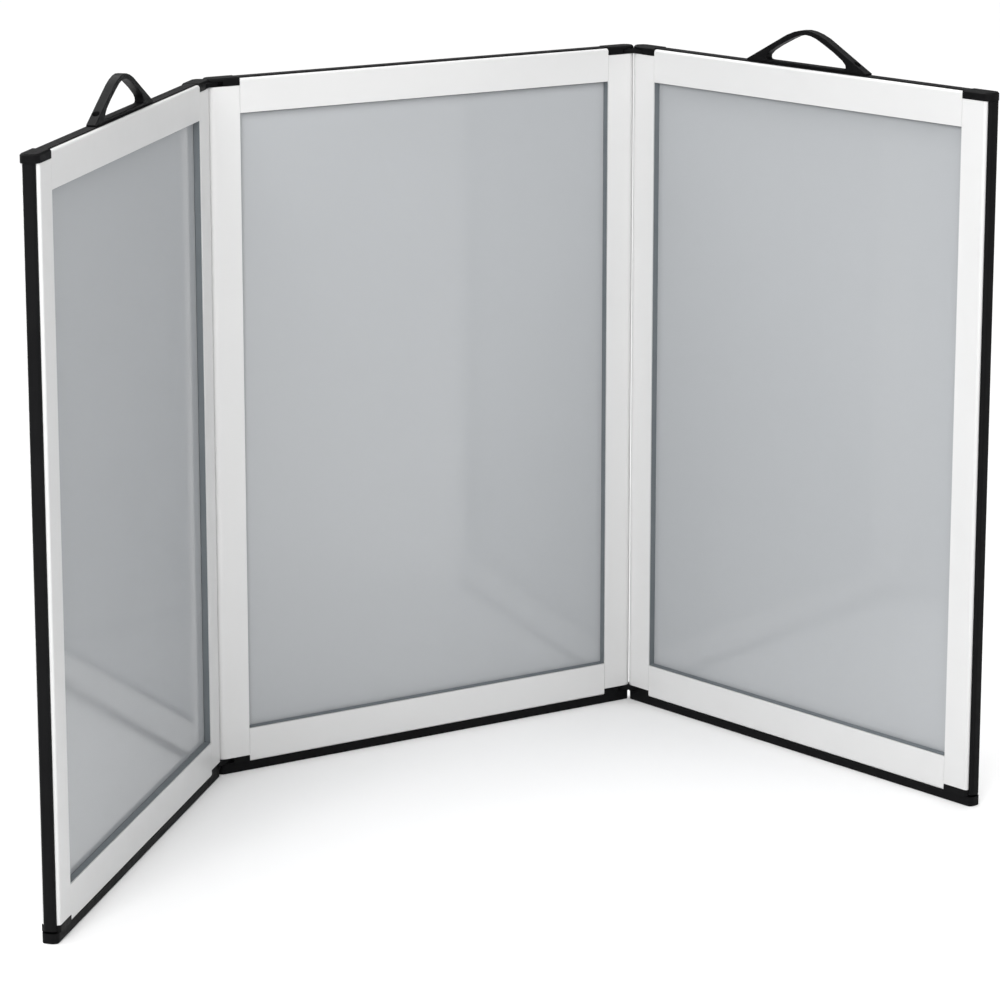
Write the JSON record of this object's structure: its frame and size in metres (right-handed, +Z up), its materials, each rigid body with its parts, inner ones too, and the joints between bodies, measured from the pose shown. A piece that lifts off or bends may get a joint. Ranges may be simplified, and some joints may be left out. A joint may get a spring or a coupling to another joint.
{
  "type": "folding three-panel screen",
  "caption": "Portable half-height folding screen: white framed panels with grey panes, black corner caps and seals, and carry handles on the outer panels.",
  "frame": {"origin": "middle of the footprint's bounding box, on the floor", "axes": "+Z up, +X across the screen, +Y away from the side that the screen opens towards"},
  "size_m": [1.0038, 0.523, 0.7877],
  "materials": {
    "white_frame": "satin white powder coat",
    "grey_pane": "glossy grey sheet",
    "grey_rubber": "dark grey glazing gasket",
    "black_rubber": "matte black seal",
    "black_plastic": "fine-textured black moulding",
    "steel": "turned steel pin",
    "dark_screw": "blackened screw"
  },
  "bodies": {
    "middle_panel": {"middle_bottom_left_cap": "black_plastic", "middle_bottom_rail": "white_frame", "middle_bottom_right_cap": "black_plastic", "middle_bottom_seal": "black_rubber", "middle_gasket": "grey_rubber", "middle_left_stile": "white_frame", "middle_pane": "grey_pane", "middle_right_stile": "white_frame", "middle_top_left_cap": "black_plastic", "middle_top_rail": "white_frame", "middle_top_right_cap": "black_plastic", "middle_top_strip": "black_rubber"},
    "left_links": {"left_hinge_bottom_inner_pin": "steel", "left_hinge_bottom_outer_pin": "steel", "left_hinge_bottom_plate": "black_plastic", "left_hinge_top_inner_pin": "steel", "left_hinge_top_outer_pin": "steel", "left_hinge_top_plate": "black_plastic"},
    "left_panel": {"left_bottom_free_cap": "black_plastic", "left_bottom_hinge_cap": "black_plastic", "left_bottom_rail": "white_frame", "left_bottom_seal": "black_rubber", "left_edge_seal": "black_rubber", "left_free_stile": "white_frame", "left_gasket": "grey_rubber", "left_handle": "black_plastic", "left_handle_left_screw": "dark_screw", "left_handle_right_screw": "dark_screw", "left_hinge_stile": "white_frame", "left_pane": "grey_pane", "left_top_free_cap": "black_plastic", "left_top_hinge_cap": "black_plastic", "left_top_rail": "white_frame", "left_top_strip": "black_rubber"},
    "right_links": {"right_hinge_bottom_inner_pin": "steel", "right_hinge_bottom_outer_pin": "steel", "right_hinge_bottom_plate": "black_plastic", "right_hinge_top_inner_pin": "steel", "right_hinge_top_outer_pin": "steel", "right_hinge_top_plate": "black_plastic"},
    "right_panel": {"right_bottom_free_cap": "black_plastic", "right_bottom_hinge_cap": "black_plastic", "right_bottom_rail": "white_frame", "right_bottom_seal": "black_rubber", "right_edge_seal": "black_rubber", "right_free_stile": "white_frame", "right_gasket": "grey_rubber", "right_handle": "black_plastic", "right_handle_left_screw": "dark_screw", "right_handle_right_screw": "dark_screw", "right_hinge_stile": "white_frame", "right_pane": "grey_pane", "right_top_free_cap": "black_plastic", "right_top_hinge_cap": "black_plastic", "right_top_rail": "white_frame", "right_top_strip": "black_rubber"}
  },
  "joints": [
    {"name": "left_inner_pivot", "type": "hinge", "parent": "middle_panel", "child": "left_links", "pos_m": [-0.12087, 0.25178, 0], "axis": [0, 0, 1], "range_deg": [-112.5, 22.5]},
    {"name": "left_outer_pivot", "type": "hinge", "parent": "left_links", "child": "left_panel", "pos_m": [-0.13935, 0.24413, 0], "axis": [0, 0, 1], "range_deg": [-112.5, 22.5]},
    {"name": "right_inner_pivot", "type": "hinge", "parent": "middle_panel", "child": "right_links", "pos_m": [0.39013, 0.25178, 0], "axis": [0, 0, -1], "range_deg": [-85, 50]},
    {"name": "right_outer_pivot", "type": "hinge", "parent": "right_links", "child": "right_panel", "pos_m": [0.40545, 0.23892, 0], "axis": [0, 0, -1], "range_deg": [-85, 50]}
  ],
  "couplings": [
    {"joint": "left_outer_pivot", "follows": "left_inner_pivot", "ratio": 1},
    {"joint": "right_outer_pivot", "follows": "right_inner_pivot", "ratio": 1}
  ]
}
